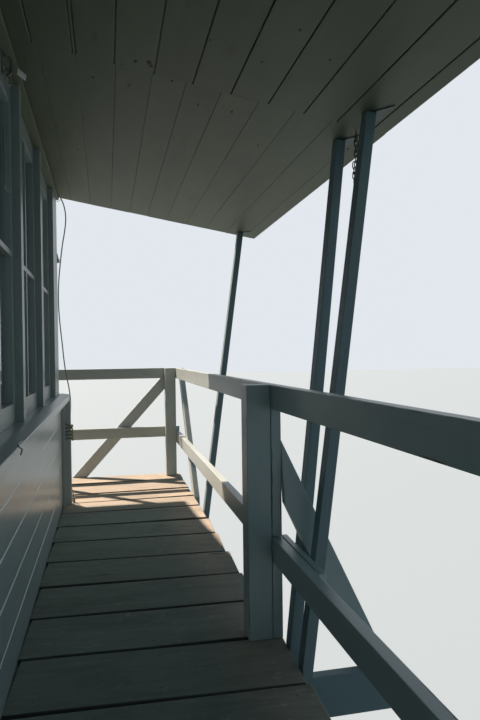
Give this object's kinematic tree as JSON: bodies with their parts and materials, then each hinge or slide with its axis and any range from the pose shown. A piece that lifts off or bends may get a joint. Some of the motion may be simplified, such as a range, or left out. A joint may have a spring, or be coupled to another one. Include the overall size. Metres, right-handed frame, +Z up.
{
  "type": "fire lookout tower",
  "caption": "Square glazed lookout cab on a low braced timber tower, with a railed plank walk all round under propped shutters and a low pyramid roof.",
  "frame": {"origin": "on the ground under the middle of the cab", "axes": "+Z up, +X out of the east side, where the outriggered walk of the picture lies, +Y along that walk to the north"},
  "size_m": [7.0464, 7.0464, 6.8137],
  "materials": {
    "concrete": "rough cast concrete",
    "tower_timber": "treated timber, weathered",
    "white_paint": "white painted boards, chalky",
    "grey_paint": "pale grey painted timber, worn",
    "deck_board": "bare weathered boards",
    "floor_board": "painted floor boards",
    "ceiling_paint": "painted boards",
    "window_glass": "clear window glass",
    "knob_brass": "worn brass",
    "shingle": "weathered cedar shingles",
    "iron": "dull painted iron with rust",
    "wire": "dull stranded wire"
  },
  "bodies": {
    "root": {"footings": "concrete", "tower_legs": "tower_timber", "cross_braces": "tower_timber", "cap_beams": "tower_timber", "floor_joists": "tower_timber", "outriggers": "white_paint", "rim_boards": "white_paint", "deck_east": "deck_board", "deck_north": "deck_board", "deck_west": "deck_board", "deck_south": "deck_board", "cab_floor": "floor_board", "wall_east": "white_paint", "wall_north": "white_paint", "wall_west": "white_paint", "wall_south": "white_paint", "corner_boards": "white_paint", "corner_batten": "white_paint", "window_sills": "white_paint", "corner_pillars": "white_paint", "headers": "white_paint", "ceiling": "ceiling_paint", "mullions": "white_paint", "window_sashes": "white_paint", "window_panes": "window_glass", "door_frame": "white_paint", "door": "white_paint", "door_knob": "knob_brass", "rafter_tails": "grey_paint", "fascia_boards": "white_paint", "roof": "shingle", "hip_caps": "shingle", "shutters_east": "grey_paint", "shutters_north": "grey_paint", "shutters_west": "grey_paint", "shutters_south": "grey_paint", "shutter_hinges": "iron", "shutter_struts": "grey_paint", "strut_brackets": "iron", "rail_posts": "grey_paint", "top_rails": "grey_paint", "lower_rails": "grey_paint", "post_cleats": "grey_paint", "rail_braces": "grey_paint", "knee_braces": "grey_paint", "ground_wire": "wire"}
  },
  "joints": []
}
